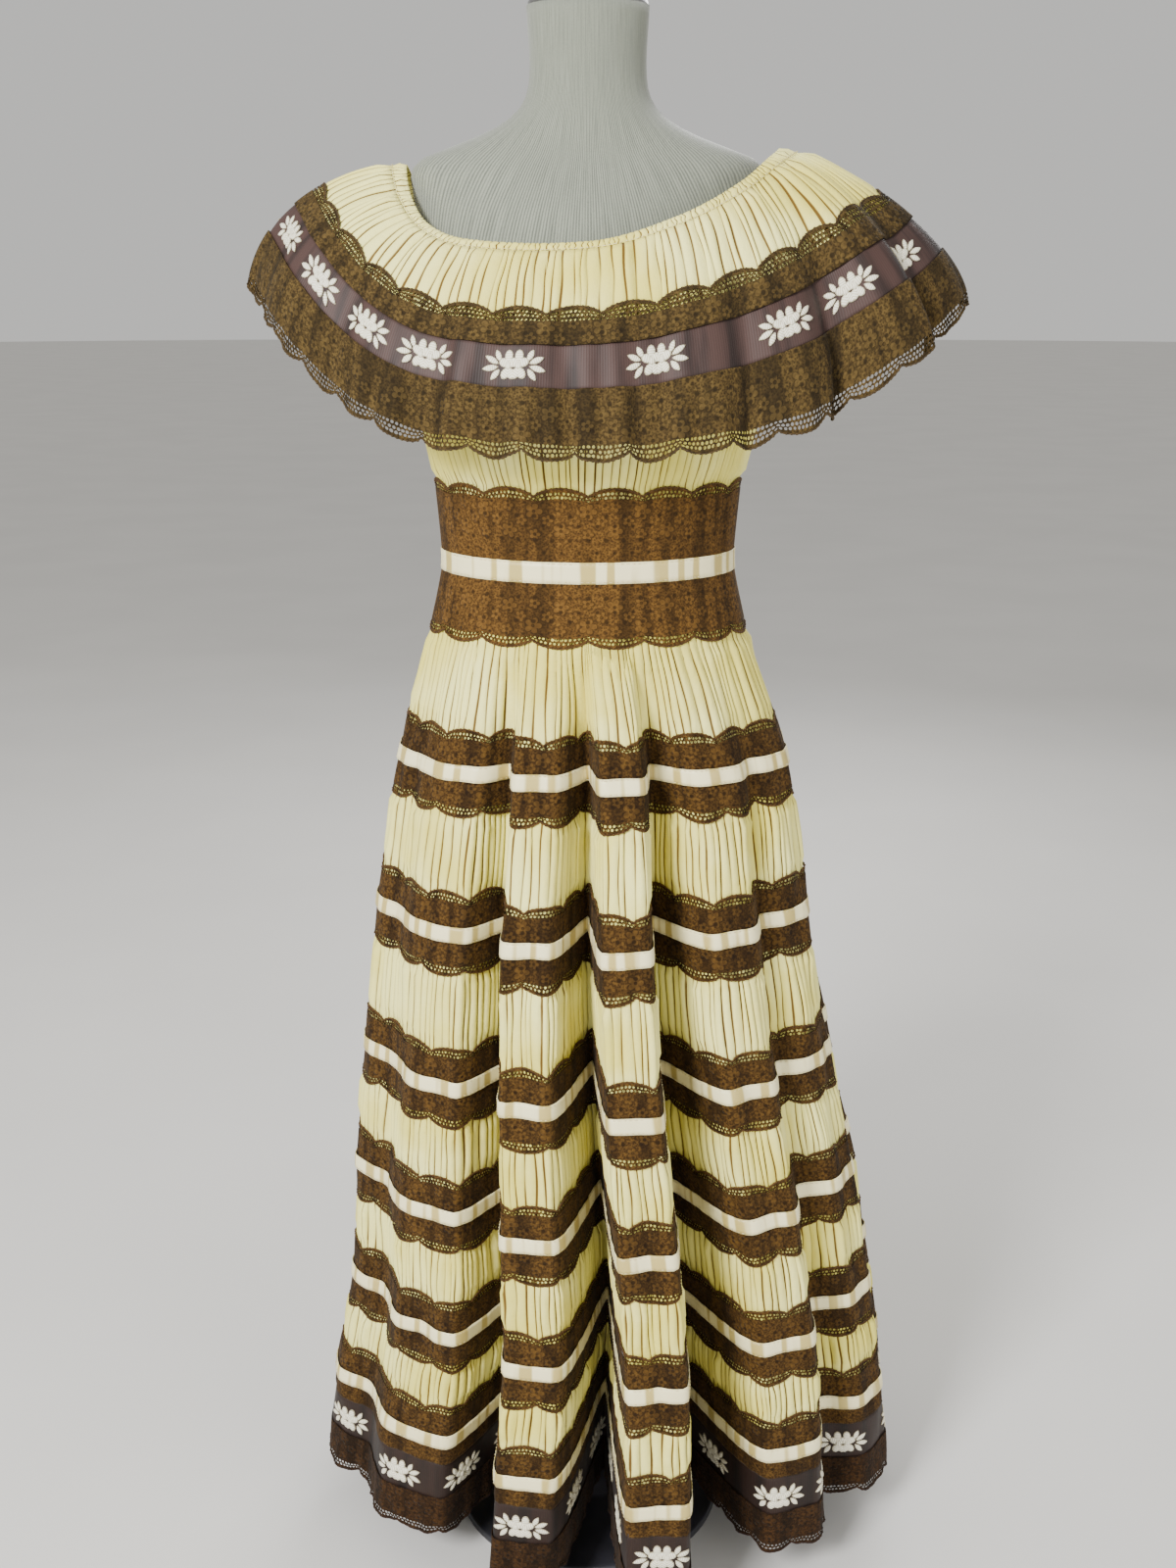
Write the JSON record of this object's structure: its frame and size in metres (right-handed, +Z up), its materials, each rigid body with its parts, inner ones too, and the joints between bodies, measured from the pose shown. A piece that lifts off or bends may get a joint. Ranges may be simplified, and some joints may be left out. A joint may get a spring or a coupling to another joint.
{
  "type": "tiered off-shoulder dress on a limbless dress form",
  "caption": "Tiered off-shoulder dress with a lace flounce and lace rows, worn by a limbless dress form on a pole and round base.",
  "frame": {"origin": "middle of the stand's underside, on the floor", "axes": "+Z up along the pole, the dress's front faces -Y"},
  "size_m": [0.6287, 0.4793, 1.4853],
  "materials": {
    "cream_cotton": "cream pintucked crinkle cotton",
    "brown_lace": "brown floral lace",
    "cream_satin": "cream satin ribbon",
    "flower_ribbon": "mauve-brown ribbon with woven cream flowers",
    "grey_jersey": "grey knit jersey over a hard shell",
    "steel": "dull steel",
    "iron": "black painted iron"
  },
  "bodies": {
    "root": {"skirt_tier_1": "cream_cotton", "skirt_tier_2": "cream_cotton", "skirt_tier_3": "cream_cotton", "skirt_tier_4": "cream_cotton", "skirt_tier_5": "cream_cotton", "skirt_tier_6": "cream_cotton", "skirt_lace_1": "brown_lace", "skirt_lace_2": "brown_lace", "skirt_lace_3": "brown_lace", "skirt_lace_4": "brown_lace", "skirt_lace_5": "brown_lace", "skirt_lace_6": "brown_lace", "skirt_ribbon_1": "cream_satin", "skirt_ribbon_2": "cream_satin", "skirt_ribbon_3": "cream_satin", "skirt_ribbon_4": "cream_satin", "skirt_ribbon_5": "cream_satin", "skirt_ribbon_6": "cream_satin", "hem_flower_ribbon": "flower_ribbon", "hem_lace": "brown_lace", "waist_lace_upper": "brown_lace", "waist_ribbon": "cream_satin", "waist_lace_lower": "brown_lace", "bodice_front": "cream_cotton", "bodice_back": "cream_cotton", "neck_casing": "cream_cotton", "flounce_cloth": "cream_cotton", "flounce_lace_upper": "brown_lace", "flounce_flower_ribbon": "flower_ribbon", "flounce_lace_lower": "brown_lace", "form_torso": "grey_jersey", "form_neck_plate": "steel", "stand_pole": "steel", "stand_base": "iron"}
  },
  "joints": []
}
